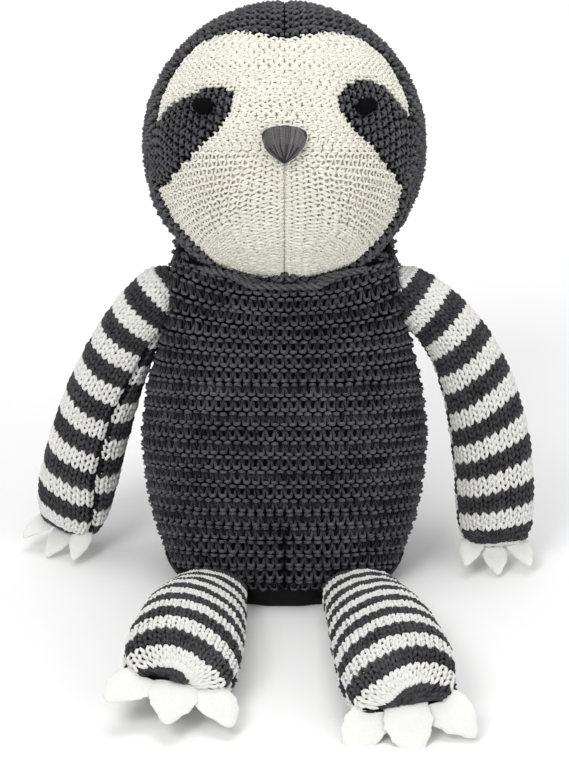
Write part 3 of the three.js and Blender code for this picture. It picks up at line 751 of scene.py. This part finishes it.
WOOL_FIBRE = wool_fibre()
# depth is how strongly each wool is painted darker, as shade, where its yarn lies deep in the cloth
CHARCOAL_WOOL = wool("charcoal_wool", (0.17, 0.17, 0.183), (0.004, 0.004, 0.005))
CHARCOAL_STRIPE = wool("charcoal_stripe", (0.1, 0.1, 0.11), (0.003, 0.003, 0.004), depth=0.7)
WHITE_WOOL = wool("white_wool", (0.93, 0.93, 0.905), (0.68, 0.675, 0.645), sheen=0.1, depth=0.25)
CREAM_WOOL = wool("cream_wool", (1.0, 0.99, 0.91), (0.8, 0.775, 0.68), sheen=0.1, depth=0.25)
# Linings are painted shade: the form under the knitting shows through the gaps between stitches, near black under the
# charcoal and white knitting and dark cream under the face
SHADE_BLACK_LINING = wool("shade_black_lining", (0.005, 0.005, 0.006), (0.002, 0.002, 0.002), twist=0.0, depth=0.0,
                       gloss=0.0)
CREAM_SHADE_LINING = wool("cream_shade_lining", (0.62, 0.6, 0.52), (0.45, 0.43, 0.37), twist=0.0, depth=0.0)
WHITE_FELT = wool("white_felt", (0.90, 0.90, 0.88), (0.74, 0.74, 0.71), fibre=1500.0, sheen=0.2, bump=0.8,
                  twist=0.0, depth=0.0)
NOSE_THREAD = wool("nose_thread", (0.26, 0.25, 0.26), (0.08, 0.077, 0.08), bump=0.5, pitch=1.1)
# Dark threads and pad under the nose: painted shade in its creases and between its threads
NOSE_CREASE_SHADE = wool("nose_crease_shade", (0.05, 0.047, 0.05), (0.02, 0.02, 0.02), twist=0.0, depth=0.0)
EYE_THREAD = wool("eye_thread", (0.006, 0.006, 0.007), (0.001, 0.001, 0.001), sheen=0.0, bump=0.5, pitch=1.1,
                  gloss=0.05)
# The base cloth is painted near black: painted shade for the underside in deep shadow under the body
SHADE_BLACK_BASE_CLOTH = wool("base_cloth", (0.012, 0.012, 0.013), (0.003, 0.003, 0.003), fibre=1200.0, bump=0.9,
                  twist=0.0, depth=0.0, gloss=0.05)


def paint(obj, *materials):
    obj.data.materials.clear()
    for material in materials:
        obj.data.materials.append(material)
    for polygon in obj.data.polygons:
        polygon.use_smooth = True


# Limbs

def limb_line(limb, shares):
    """Points, directions, side and top vectors of a limb's middle line at shares of its length."""
    line = np.array(limb["line"], float)
    fine = np.linspace(0, 1, 141)
    path = smoothed(between(fine, np.linspace(0, 1, len(line)), line), 10)
    centre = between(shares, fine, path)
    forward = unit(between(shares, fine, np.gradient(path, axis=0)))
    across = unit(LEFTWARD - forward * forward[:, :1])
    comes_in = np.clip(shares / limb["ramp"], 0, 1) if limb["ramp"] else np.ones(len(shares))
    turn = (np.radians(limb["twist"]) * comes_in)[:, None]
    side = across * np.cos(turn) + np.cross(forward, across) * np.sin(turn)
    return centre, forward, side, np.cross(forward, side)


def limb_seams(limb, points):
    """How firmly the side seams and the end seam hold each point of a limb."""
    stations, end_station, seam_width, seam_out = 61, 57, 1.8, 7
    centre, _, side, top = limb_line(limb, np.linspace(0, 1, stations))
    nearest = ((points[:, None] - centre[None]) ** 2).sum(-1).argmin(1)
    offset = points - centre[nearest]
    height = (offset * top[nearest]).sum(1)
    out = np.abs((offset * side[nearest]).sum(1))
    return np.maximum(bell(height, seam_width) * (out > seam_out), nearest > end_station)


def limb_sleeve(name, limb, inset):
    """The closed sleeve of a limb: rings round its middle line, a round root, and a flat end seam."""
    shares = np.r_[np.zeros(len(ROOT_RINGS)), np.linspace(0, 1, 25)]
    centre, forward, side, top = limb_line(limb, shares)
    halves = np.array(limb["half"], float) - inset
    sizes = between(shares, np.linspace(0, 1, len(halves)), halves)
    hem = HEM_HALF_HEIGHT - inset
    shape = bmesh.new()
    for k, share in enumerate(shares):
        (width, depth), spot = sizes[k], centre[k]
        if k < len(ROOT_RINGS):
            behind, size = ROOT_RINGS[k]
            spot = spot + forward[k] * behind * depth
            width, depth = width * size, depth * size
        closing = np.clip((share - 1 + limb["close"]) / limb["close"], 0, 1)
        depth = hem + (depth - hem) * math.sqrt(1 - closing ** 2)
        width = width * (1 - (1 - HEM_WIDTH) * closing ** 2.5)
        for v in bmesh.ops.create_circle(shape, segments=32, radius=1)["verts"]:
            v.co = Vector((spot + side[k] * v.co.x * width + top[k] * v.co.y * depth) * MM)
    bmesh.ops.bridge_loops(shape, edges=list(shape.edges))
    bmesh.ops.holes_fill(shape, edges=[e for e in shape.edges if e.is_boundary], sides=0)
    bmesh.ops.recalc_face_normals(shape, faces=shape.faces)
    return object_from(shape, name)


def limb_surface(form, limb, start):
    """Half of a limb from its root to its end seam, found from its middle line."""
    root_rows, rows, turns = 9, 60, 60
    lean = np.r_[np.linspace(-1.1, -0.08, root_rows), np.zeros(rows)][:, None, None]
    shares = np.r_[np.zeros(root_rows), np.linspace(0, 0.995, rows)]
    centre, forward, side, top = limb_line(limb, shares)
    further = np.interp(shares, np.linspace(0, 1, len(limb["seam"])), limb["seam"])
    angles = (np.linspace(start, start + math.pi, turns)[None] + np.radians(further)[:, None])[..., None]
    rays = side[:, None] * np.cos(angles) + top[:, None] * np.sin(angles)
    rays = rays * np.cos(lean) + forward[:, None] * np.sin(lean)
    return Surface(form, np.repeat(centre[:, None], turns, 1), unit(rays))


def knit_limb(body):
    """A stuffed sleeve, its two striped panels and its three claws."""
    limb = LIMBS[body]
    root_rows, counted_row = 3.5, 40
    form = remeshed(limb_sleeve(f"{body}_sleeve", limb, SLEEVE_INSET), LIMB_VOXEL, f"{body}_stuffed")
    relax(form, 1)
    form = puff(form, limb_seams(limb, points_of(form) / MM), LIMB_PUFF)
    # The sleeve's form is painted near black: painted shade in the gaps between stitches
    paint(form, SHADE_BLACK_LINING)
    pieces = [(form, "fibre_filling", f"{body}_filling")]
    width = np.mean(limb["half"], 0)[0]

    def slope(place, turn):
        angle = start + (turn + 1) / 2 * math.pi
        share = place / surface.run[-1]
        degrees = np.interp(share, (0, 0.5, 1), limb["tilt"])
        crown = limb["crown"] * np.clip(share * 3 - 2, 0, 1) * np.cos(angle) ** 2
        return crown - np.cos(angle) * width * math.tan(math.radians(degrees))

    for part, start, shift in zip(limb["panels"], (0.0, math.pi), (0, STRIPE_ROWS)):
        panel = f"{body}_{part}_panel"
        surface = limb_surface(form, limb, start)
        loops = int(round(lengths_along(surface.points[counted_row])[-1] / LIMB_STITCH))
        last = round(surface.run[-1] / LIMB_ROW + root_rows) + STRIPE_ROWS - limb["end_rows"] + shift
        strands = lay_rows(surface, LIMB_ROW, LIMB_STITCH, knit_side, samples=12, count=loops, bend=slope,
                           first=-root_rows, tone=lambda k: 1 - (last - k) // STRIPE_ROWS % 2, tuck=0.6)
        knit = yarn_mesh(f"{panel}_knit", strands, LIMB_YARN, [WHITE_WOOL, CHARCOAL_STRIPE])
        pieces.append((knit, "striped_knit", panel))
    for piece, slot, replaced in pieces:
        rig.slot(piece, slot)
        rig.replaces(piece, replaced)
        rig.blend(piece, "torso", body, *[tuple(c * MM for c in point) for point in limb["bend"]])
    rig.padded(form, fill=0.75)
    for number in (1, 2, 3):
        felt_claw(f"{body.split('_')[0]}_{limb['claws']}_claw_{number}", body, number)


def felt_claw(name, body, number):
    """A felt claw: the node's petal with soft edges, a wider base where claws meet and a longer tip."""
    widening, narrowing, lengthening = 0.9, 0.16, 0.35
    claw = remeshed(merged_nodes(name + "_copy", [name]), 0.5, name + "_felt")
    relax(claw, 10)
    points = points_of(claw) / MM
    middle = points.mean(0)
    limb_end = np.array(LIMBS[body]["line"][-1], float)
    length_axis, width_axis = np.linalg.svd(points - middle, full_matrices=False)[2][:2]
    length_axis = length_axis * np.sign((middle - limb_end) @ length_axis)
    second = np.array(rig.box(name[:-1] + "2")).mean(0) / MM
    place, out = (points - middle) @ length_axis, (points - middle) @ width_axis
    base = np.clip((place.max() - 1 - place) / np.ptp(place), 0, 1) ** 1.5
    if number != 2:
        base = base * (out * ((second - middle) @ width_axis) > 0)
    tip = np.clip((place - place.min()) / np.ptp(place) * 2 - 1, 0, 1) ** 2
    half = np.abs(out).max()
    points = points + width_axis * (out * (base * widening - tip * narrowing))[:, None] \
        + length_axis * (tip * (1 - (out / half) ** 2) * half * lengthening)[:, None]
    place_points(claw, points * MM)
    paint(claw, WHITE_FELT)
    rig.slot(claw, "claw_felt")
    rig.replaces(claw, name)
    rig.ride(claw, body)


# Torso

def torso_seams(points):
    """How firmly the side seams hold each point of the torso."""
    seam_width, seam_out = 2.2, 20
    return bell(points @ BELLYWARD, seam_width) * (np.abs(points[:, 0]) > seam_out)


def raise_collar(form):
    """Lifts the torso's upper edge to the jaw, keeps it clear of the head and widens the shoulders."""
    full_within, fade, back_fade = 3, 16, 25
    cheek_bearing, cheek_width = 55, 24
    clearance = 0.6
    shoulder_inner, shoulder_run, shoulder_spread = 18, 18, 13
    points = points_of(form) / MM
    offset = points - HEAD_CENTRE
    near = np.clip(1 - (np.linalg.norm(offset, axis=1) - HEAD_RADIUS - full_within) / fade, 0, 1)
    near = near * near * (3 - 2 * near) * np.clip((points @ BELLYWARD + back_fade) / back_fade, 0, 1)
    bearing = np.degrees(np.arctan2(np.abs(points[:, 0]), points @ BELLYWARD))
    lift = COLLAR_LIFT + CHEEK_LIFT * bell(bearing - cheek_bearing, cheek_width)
    outward = unit(points - (points @ SPINE)[:, None] * SPINE)
    points = points + near[:, None] * (lift[:, None] * SPINE + COLLAR_SPREAD * outward)
    offset = points - HEAD_CENTRE
    far = np.linalg.norm(offset, axis=1, keepdims=True)
    points = HEAD_CENTRE + offset * np.maximum(far, HEAD_RADIUS + clearance) / far
    shoulder = np.clip((np.abs(points[:, 0]) - shoulder_inner) / shoulder_run, 0, 1) ** 2
    shoulder *= bell(points @ SPINE - SHOULDER_HEIGHT, shoulder_spread)
    points[:, 0] += np.sign(points[:, 0]) * SHOULDER_WIDTH * shoulder
    place_points(form, points * MM)


def torso_surface(form, start):
    """Half of the torso, from its underside over the shoulders, found from the spine."""
    low, high = 16.0, 92.0
    below, beside, above, turns = 16, 34, 22, 91
    lean = np.r_[np.linspace(-1.35, -0.06, below), np.zeros(beside), np.linspace(0.05, 1.4, above)]
    height = np.r_[np.full(below, low), np.linspace(low, high, beside), np.full(above, high)]
    angles = np.linspace(start, start + math.pi, turns)[:, None]
    ring = np.cos(angles) * LEFTWARD + np.sin(angles) * BELLYWARD
    rays = ring[None] * np.cos(lean)[:, None, None] + SPINE * np.sin(lean)[:, None, None]
    return Surface(form, np.repeat((height[:, None] * SPINE)[:, None], turns, 1), rays)


def neck_cord(surface, width):
    """Two plies twisted together, laid where the groove between collar and jaw is as wide as given."""
    gap = np.linalg.norm(surface.points - HEAD_CENTRE, axis=-1) - HEAD_RADIUS
    row = np.where((gap < width).any(0), (gap < width).argmax(0), gap.argmin(0))
    turn = np.arange(len(row))
    groove, cloth = surface.points[row, turn], surface.normals[row, turn]
    groove = smoothed(groove + unit(cloth + unit(groove - HEAD_CENTRE)) * CORD_LIFT, 3)
    run = lengths_along(groove)
    place = np.arange(0, run[-1], 0.6)
    line = between(place, run, groove)
    out = unit(line - HEAD_CENTRE)
    side = np.cross(unit(np.gradient(line, axis=0)), out)
    for ply in (0, math.pi):
        wound = (place * 2 * math.pi / CORD_PITCH + ply)[:, None]
        yield line + CORD_RADIUS * (np.cos(wound) * out + np.sin(wound) * side), 0, np.full(len(line), 1.3)


def knit_torso():
    """The stuffed torso with its front and back panel in garter ridges."""
    form = stuffed_form("torso_stuffed", ["body_front_panel", "body_back_panel", "body_filling",
                                          "pellet_pouch", "base_panel"], torso_seams)
    raise_collar(form)
    # The torso's form is painted near black: painted shade in the gaps between stitches
    paint(form, SHADE_BLACK_LINING)
    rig.slot(form, "fibre_filling")
    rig.replaces(form, "body_filling", "pellet_pouch")
    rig.padded(form, fill=0.7)
    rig.ride(form, "torso")

    def on_torso(points):
        clear_of_head = np.linalg.norm(points - HEAD_CENTRE, axis=-1) > HEAD_RADIUS + 1.2
        return (clear_of_head | (points @ SPINE > COLLAR_TOP)) & (points[:, 2] > BASE_RIM)

    def dart(points):
        below = np.clip((DART_TOP - points @ SPINE) / DART_RUN, 0, 1) * (points[:, 1] < 0)
        return DART_DEPTH * below * bell(points[:, 0], DART_WIDTH)

    def smile(place, turn):
        return SMILE * np.clip((place - SMILE_START) / SMILE_RUN, 0, 1) * turn ** 2

    for panel, start in (("body_front_panel", 0.0), ("body_back_panel", math.pi)):
        surface = torso_surface(form, start)
        strands = lay_rows(surface, BODY_ROW, BODY_STITCH, garter(BODY_RAISED), belongs=on_torso, bend=smile,
                           sink=dart)
        for width in (3.2, 1.4):
            strands += neck_cord(surface, width)
        piece = yarn_mesh(f"{panel}_knit", strands, BODY_YARN, [CHARCOAL_WOOL])
        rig.slot(piece, "ribbed_knit")
        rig.replaces(piece, panel)
        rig.ride(piece, "torso")


# Head

def face_place(points):
    """Across, forward and up of points, in shares of the head's radius, square to the face."""
    offset = (points - HEAD_CENTRE) / HEAD_RADIUS
    return offset @ LEFTWARD, offset @ FACE_FORWARD, offset @ FACE_UP


def inside(outline, points):
    """True for each point on the front of the head and inside a closed outline."""
    across, forward, up = face_place(points)
    result = np.zeros(np.shape(across), bool)
    for (x0, z0), (x1, z1) in zip(outline, np.roll(outline, -1, 0)):
        crosses = (z0 > up) != (z1 > up)
        at = x0 + (up - z0) * (x1 - x0) / (z1 - z0 if z1 != z0 else 1e-9)
        result ^= crosses & (across < at)
    return result & (forward > 0)


def outline_distance(outline, points):
    """Millimetres to a closed outline, seen square to the face."""
    across, _, up = face_place(points)
    spot = np.stack([across, up], -1)
    best = np.full(np.shape(across), 9.0)
    for a, b in zip(outline, np.roll(outline, -1, 0)):
        t = np.clip(((spot - a) @ (b - a)) / ((b - a) @ (b - a)), 0, 1)
        best = np.minimum(best, np.linalg.norm(spot - (a + t[..., None] * (b - a)), axis=-1))
    return best * HEAD_RADIUS


def mask_angle(bearing):
    """The angle from the middle of the face to the mask's outline, at a bearing from the top of the head."""
    across, up = MASK.T
    angles = np.arcsin(np.hypot(across, up).clip(0, 0.999))
    return np.interp(bearing, np.arctan2(across, up), angles, period=2 * math.pi)


def beyond_mask(points):
    """Millimetres outside the mask's outline, along the head, and the bearing from the top of the head."""
    across, forward, up = face_place(points)
    bearing = np.arctan2(across, up)
    angle = np.arctan2(np.hypot(across, up), forward)
    return (angle - mask_angle(bearing)) * HEAD_RADIUS, np.abs(bearing)


def rim_width(bearing):
    """How wide the rolled rim is: nothing at the ears, full round the jaw."""
    return RIM_WIDTH * np.clip((bearing - RIM_START) / RIM_GROWTH, 0, 1)


def head_seams(points):
    """How firmly the seam over the crown and the mask's edge hold each point of the head."""
    seam_width, edge_width, above_mask, below_mask = 1.8, 1.6, 0.7, -0.35
    _, forward, up = face_place(points)
    crown = bell(points[:, 0], seam_width) * ((forward < 0) | (up > above_mask) | (up < below_mask))
    return np.maximum(crown, bell(outline_distance(MASK, points), edge_width) * (forward > 0))


def surface_of_head(form, across, forward, up):
    """A surface found from the head's centre by rays, each a share of the face's three directions."""
    rays = across[..., None] * LEFTWARD + forward[..., None] * FACE_FORWARD + up[..., None] * FACE_UP
    return Surface(form, np.broadcast_to(HEAD_CENTRE, rays.shape), rays)


def head_surface(form, latitudes, longitudes, lean=0.0, upright=False):
    """Part of the head. Rows are latitudes, or longitudes where upright; lean tips the pole back."""
    lat, lon = np.meshgrid(latitudes, longitudes, indexing="xy" if upright else "ij")
    ahead, above = np.cos(lon) * np.cos(lat), np.sin(lat)
    return surface_of_head(form, np.sin(lon) * np.cos(lat), ahead * math.cos(lean) - above * math.sin(lean),
                           ahead * math.sin(lean) + above * math.cos(lean))


def rim_surface(form):
    """The jaw below and beside the face; rows run along the mask's outline."""
    turn = np.linspace(RIM_START, 2 * math.pi - RIM_START, 121)[None]
    angle = mask_angle(turn) + np.linspace(-0.02, (RIM_WIDTH + 2) / HEAD_RADIUS, 16)[:, None]
    return surface_of_head(form, np.sin(angle) * np.sin(turn), np.cos(angle), np.sin(angle) * np.cos(turn))


def on_mask(points):
    """True inside the mask's outline, apart from what lies under the jaw's rim."""
    beyond, bearing = beyond_mask(points)
    return inside(MASK, points) & ~((beyond > 1) & (bearing > RIM_START))


def on_face(points):
    return on_mask(points) & ~inside(PATCHES["left"], points) & ~inside(PATCHES["right"], points)


def knit_hood(form, side, sign):
    """Half of the hood: ridges round the head that dip at the crown seam, and a rolled rim under the jaw."""
    def on_hood(points):
        beyond, bearing = beyond_mask(points)
        on_own_side = (points[:, 0] * sign > SEAM_GAP) & (points @ SPINE > NECK_HEIGHT)
        return on_own_side & ~on_mask(points) & (beyond > rim_width(bearing))

    def on_rim(points):
        beyond, bearing = beyond_mask(points)
        return (points[:, 0] * sign > SEAM_GAP) & (beyond < rim_width(bearing))

    def dip(place, turn):
        from_seam = (turn + 1 if sign > 0 else 1 - turn) / 2 * math.pi
        return -HOOD_DIP * bell(from_seam, DIP_WIDTH)

    def roll(points):
        return -ROLL_HEIGHT * bell(beyond_mask(points)[0] - ROLL_PLACE, ROLL_WIDTH)

    latitudes = np.linspace(-math.pi / 2 * 0.96, math.pi / 2 * 0.995, 61)
    longitudes = np.sort(np.linspace(0.001, math.pi - 0.001, 111) * sign)
    strands = lay_rows(head_surface(form, latitudes, longitudes, lean=HOOD_LEAN), HOOD_ROW, HOOD_STITCH,
                       garter(HOOD_RAISED), belongs=on_hood, bend=dip)
    strands += lay_rows(rim_surface(form), RIM_ROW, HOOD_STITCH, garter(HOOD_RAISED), belongs=on_rim,
                        sink=roll, first=0.4)
    return yarn_mesh(f"hood_{side}_knit", strands, HOOD_YARN, [CHARCOAL_WOOL])


def knit_face(form):
    """The cream mask, its rows hanging down over the cheeks, parted by the seam under the nose."""
    seam_half, seam_top = 0.002, -0.05
    slack_top, slack_run, slack_power, cheek_power = -0.02, 0.4, 0.8, 1.6
    stretch, stretch_latitude, stretch_spread = 0.25, -0.45, 0.3

    def cloth(points):
        across, _, up = face_place(points)
        return on_face(points) & ~((np.abs(across) < seam_half) & (up < seam_top))

    def droop(place, turn):
        latitude = FACE_LOW + place / HEAD_RADIUS
        slack = np.clip((slack_top - math.sin(latitude)) / slack_run, 0, 1) ** slack_power
        across = np.abs(math.cos(latitude) * np.sin(turn * FACE_SPREAD))
        return -FACE_DROOP * slack * across ** cheek_power * HEAD_RADIUS

    def stretched(place):
        off = FACE_LOW + place / HEAD_RADIUS - stretch_latitude
        return FACE_STITCH * (1 + stretch * bell(off, stretch_spread))

    surface = head_surface(form, np.linspace(FACE_LOW, FACE_HIGH, 81),
                           np.linspace(-FACE_SPREAD, FACE_SPREAD, 121))
    strands = lay_rows(surface, FACE_ROW, stretched, purl_side, belongs=cloth, bend=droop, samples=8)
    return yarn_mesh("face_knit", strands, FACE_YARN, [CREAM_WOOL])


def knit_eye_patch(form, side, sign):
    """A dark patch whose ridges run up and down."""
    surface = head_surface(form, np.linspace(-0.5, 0.6, 51), np.linspace(0.3, 1.55, 51) * sign, upright=True)
    strands = lay_rows(surface, PATCH_ROW, PATCH_STITCH, garter(PATCH_RAISED), samples=8, tuck=0.6,
                       belongs=lambda points: inside(PATCHES[side], points))
    return yarn_mesh(f"{side}_eye_patch_knit", strands, PATCH_YARN, [CHARCOAL_WOOL])


def onto(tree, across, up, lift):
    """Points lifted off a pad's front, straight behind places on the face given in millimetres."""
    in_front = 90
    spots = []
    for x, z in zip(across, up):
        start = HEAD_CENTRE + LEFTWARD * x + FACE_UP * z + FACE_FORWARD * in_front
        hit = tree.ray_cast(Vector(start * MM), Vector(-FACE_FORWARD))
        if hit[0] is not None:
            spots.append(np.array(hit[0]) / MM + np.array(hit[1]) * lift)
    return np.array(spots)


def embroider(name, slot, stitches_of, thread, materials):
    """A padded motif of satin stitches: the node's own form as the pad, and threads laid over it."""
    pad = remeshed(merged_nodes(name + "_copy", [name]), 0.7, name + "_pad")
    relax(pad, 3)
    # The pad takes the last material: for the nose the dark crease colour, painted shade in the gaps between its
    # threads; for the eyes their own black
    paint(pad, materials[-1])
    tree = tree_of(pad)
    place = np.array(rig.box(name)) / MM
    middle = (place[0] + place[1]) / 2 - HEAD_CENTRE
    strands = []
    for path, lift, tone in stitches_of():
        spots = onto(tree, path[:, 0] + middle @ LEFTWARD, path[:, 1] + middle @ FACE_UP, lift)
        if len(spots) > 3:
            strands.append((spots, tone, np.full(len(spots), lift * 3)))
    threads = yarn_mesh(f"{name}_stitches", strands, thread, materials)
    for piece in (pad, threads):
        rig.slot(piece, slot)
        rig.ride(piece, "head")
    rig.replaces(pad, name)


def nose_stitches():
    """Threads that fan from the nose's tip to its arched upper edge, and a few short dark ones at the tip, painted
    shade in the creases between threads.
    """
    threads, half_width, fan, bow_out = 31, 7.3, 1.35, 2.0
    top_height, corner_drop, arch_power = 6.2, 4.2, 3.2
    tip = np.array([0.0, -6.6])
    for k in range(threads):
        share = k / (threads - 1) * 2 - 1
        top = np.array([half_width * math.sin(share * fan) / math.sin(fan),
                        top_height - corner_drop * abs(share) ** arch_power])
        t = np.linspace(0.04, 1.0, 9)[:, None]
        bow = np.array([share * bow_out, 0.0]) * np.sin(t * math.pi)
        path = tip + (top - tip) * t + bow + HAND.normal(0, 0.07, 2)
        yield path, 0.05 + HAND.uniform(0, 0.3), 0
        # Every fifth thread gets a short dark twin: painted shade in the creases at the tip
        if k % 5 == 2:
            yield path[:5] + HAND.normal(0, 0.1, 2), 0.42, 1


def eye_stitches():
    """Short threads side by side over the eye, a second layer slightly turned."""
    threads, half_width, longest, outline = 19, 4.0, 3.4, 4.2
    for lift, tilt in ((0.1, 0.5), (0.35, 0.9)):
        for k in range(threads):
            offset = (k / (threads - 1) * 2 - 1) * half_width
            half = longest * math.sqrt(max(0.0, 1 - (offset / outline) ** 2))
            t = np.linspace(-half, half, 7)
            x, z = offset * math.cos(tilt) - t * math.sin(tilt), offset * math.sin(tilt) + t * math.cos(tilt)
            yield np.stack([x, z], 1), lift, 0


def knit_head():
    """The stuffed head with its face, hood and eye patches, and the embroidered nose and eyes."""
    form = stuffed_form("head_stuffed", ["hood_left", "hood_right", "face_panel", "left_eye_patch",
                                         "right_eye_patch", "head_filling"], head_seams)
    # The head's form is painted near black under the hood and dark cream under the face: painted shade in the gaps
    # between stitches
    paint(form, SHADE_BLACK_LINING, CREAM_SHADE_LINING)
    centres = np.array([p.center for p in form.data.polygons], float) / MM
    form.data.polygons.foreach_set("material_index", on_face(centres).astype(np.int32))
    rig.slot(form, "fibre_filling")
    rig.replaces(form, "head_filling")
    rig.padded(form, fill=0.75)
    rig.ride(form, "head")
    pieces = [(knit_face(form), "face_knit", "face_panel")]
    for side, sign in (("left", 1), ("right", -1)):
        pieces.append((knit_hood(form, side, sign), "ribbed_knit", f"hood_{side}"))
        pieces.append((knit_eye_patch(form, side, sign), "ribbed_knit", f"{side}_eye_patch"))
    for piece, slot, replaced in pieces:
        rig.slot(piece, slot)
        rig.replaces(piece, replaced)
        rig.ride(piece, "head")
    embroider("nose", "nose_thread", nose_stitches, 0.36, [NOSE_THREAD, NOSE_CREASE_SHADE])
    for side in ("left", "right"):
        embroider(f"{side}_eye", "eye_thread", eye_stitches, 0.34, [EYE_THREAD])


def sew_base_and_neck():
    for name, source, material, slot, body in (
            # The base cloth is painted near black, as shade under the body
            ("base_cloth_panel", "base_panel", SHADE_BLACK_BASE_CLOTH, "base_cloth", "torso"),
            # The neck's roll is painted near black: painted shade in the groove between head and torso
            ("neck_seam_roll", "neck_seam_ring", SHADE_BLACK_LINING, "ribbed_knit", "neck")):
        piece = remeshed(merged_nodes(name + "_copy", [source]), 1.5, name)
        relax(piece, 2)
        paint(piece, material)
        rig.slot(piece, slot)
        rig.replaces(piece, source)
        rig.ride(piece, body)


# Studio, in metres

def studio():
    scene = bpy.context.scene
    target, distance, elevation = Vector((0, 0, 0.077)), 1.5, math.radians(22)
    camera = bpy.data.cameras.new("camera")
    camera.sensor_width = 36
    camera.lens = 189.5
    camera.clip_start, camera.clip_end = 0.1, 20
    holder = link(bpy.data.objects.new("camera", camera))
    back = Vector((0, -math.cos(elevation), math.sin(elevation)))
    holder.location = target + back * distance
    holder.rotation_euler = (-back).to_track_quat("-Z", "Y").to_euler()
    scene.camera = holder

    shape = bmesh.new()
    bmesh.ops.create_grid(shape, x_segments=1, y_segments=1, size=6)
    floor = object_from(shape, "floor")
    pale = bpy.data.materials.new("pale_floor")
    pale.use_nodes = True
    tree = pale.node_tree
    # The camera alone sees the floor glow a little, more so away from the toy
    near, far, near_glow, far_glow = 0.12, 0.6, 0.03, 0.16
    place = node(tree, "ShaderNodeTexCoord").outputs["Object"]
    away = node(tree, "ShaderNodeVectorMath", operation="LENGTH", Vector=place).outputs["Value"]
    by_camera = node(tree, "ShaderNodeLightPath").outputs["Is Camera Ray"]
    glow = maths(tree, "MULTIPLY", ranged(tree, away, near, far, near_glow, far_glow), by_camera)
    settle(tree.nodes["Principled BSDF"], Roughness=0.9,
           **{"Base Color": (0.95, 0.95, 0.95, 1), "Specular IOR Level": 0.1,
              "Emission Color": (1, 1, 1, 1), "Emission Strength": glow})
    floor.data.materials.append(pale)
    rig.stage(floor)

    # White behind everything for the camera and for reflections, half as bright as a light
    world = bpy.data.worlds.new("studio")
    scene.world = world
    world.use_nodes = True
    tree = world.node_tree
    light = settle(tree.nodes["Background"], Color=(1, 1, 1, 1), Strength=0.5)
    white = node(tree, "ShaderNodeBackground", Color=(1, 1, 1, 1), Strength=1.0)
    ray = node(tree, "ShaderNodeLightPath").outputs
    in_view = maths(tree, "MAXIMUM", ray["Is Camera Ray"], ray["Is Glossy Ray"])
    mix = node(tree, "ShaderNodeMixShader", Fac=in_view)
    tree.links.new(light.outputs[0], mix.inputs[1])
    tree.links.new(white.outputs[0], mix.inputs[2])
    settle(tree.nodes["World Output"], Surface=mix.outputs[0])

    for name, place, size, power in (("key", (-0.7, -1.4, 1.4), 0.7, 15), ("fill", (1.2, -1.2, 0.7), 1.0, 6),
                                     ("top", (0, 0.2, 1.6), 1.0, 9)):
        lamp = bpy.data.lights.new(name, "AREA")
        lamp.size = size
        lamp.energy = power
        holder = link(bpy.data.objects.new(name, lamp))
        holder.location = place
        holder.rotation_euler = (target - Vector(place)).to_track_quat("-Z", "Y").to_euler()

    scene.view_settings.view_transform = "Standard"


studio()
knit_torso()
knit_head()
for limb_body in LIMBS:
    knit_limb(limb_body)
sew_base_and_neck()

with open("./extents.json", "w") as size_file:
    json.dump({"cad": [list(corner) for corner in cad_box], "visual": [list(corner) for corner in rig.bounds()]},
              size_file)
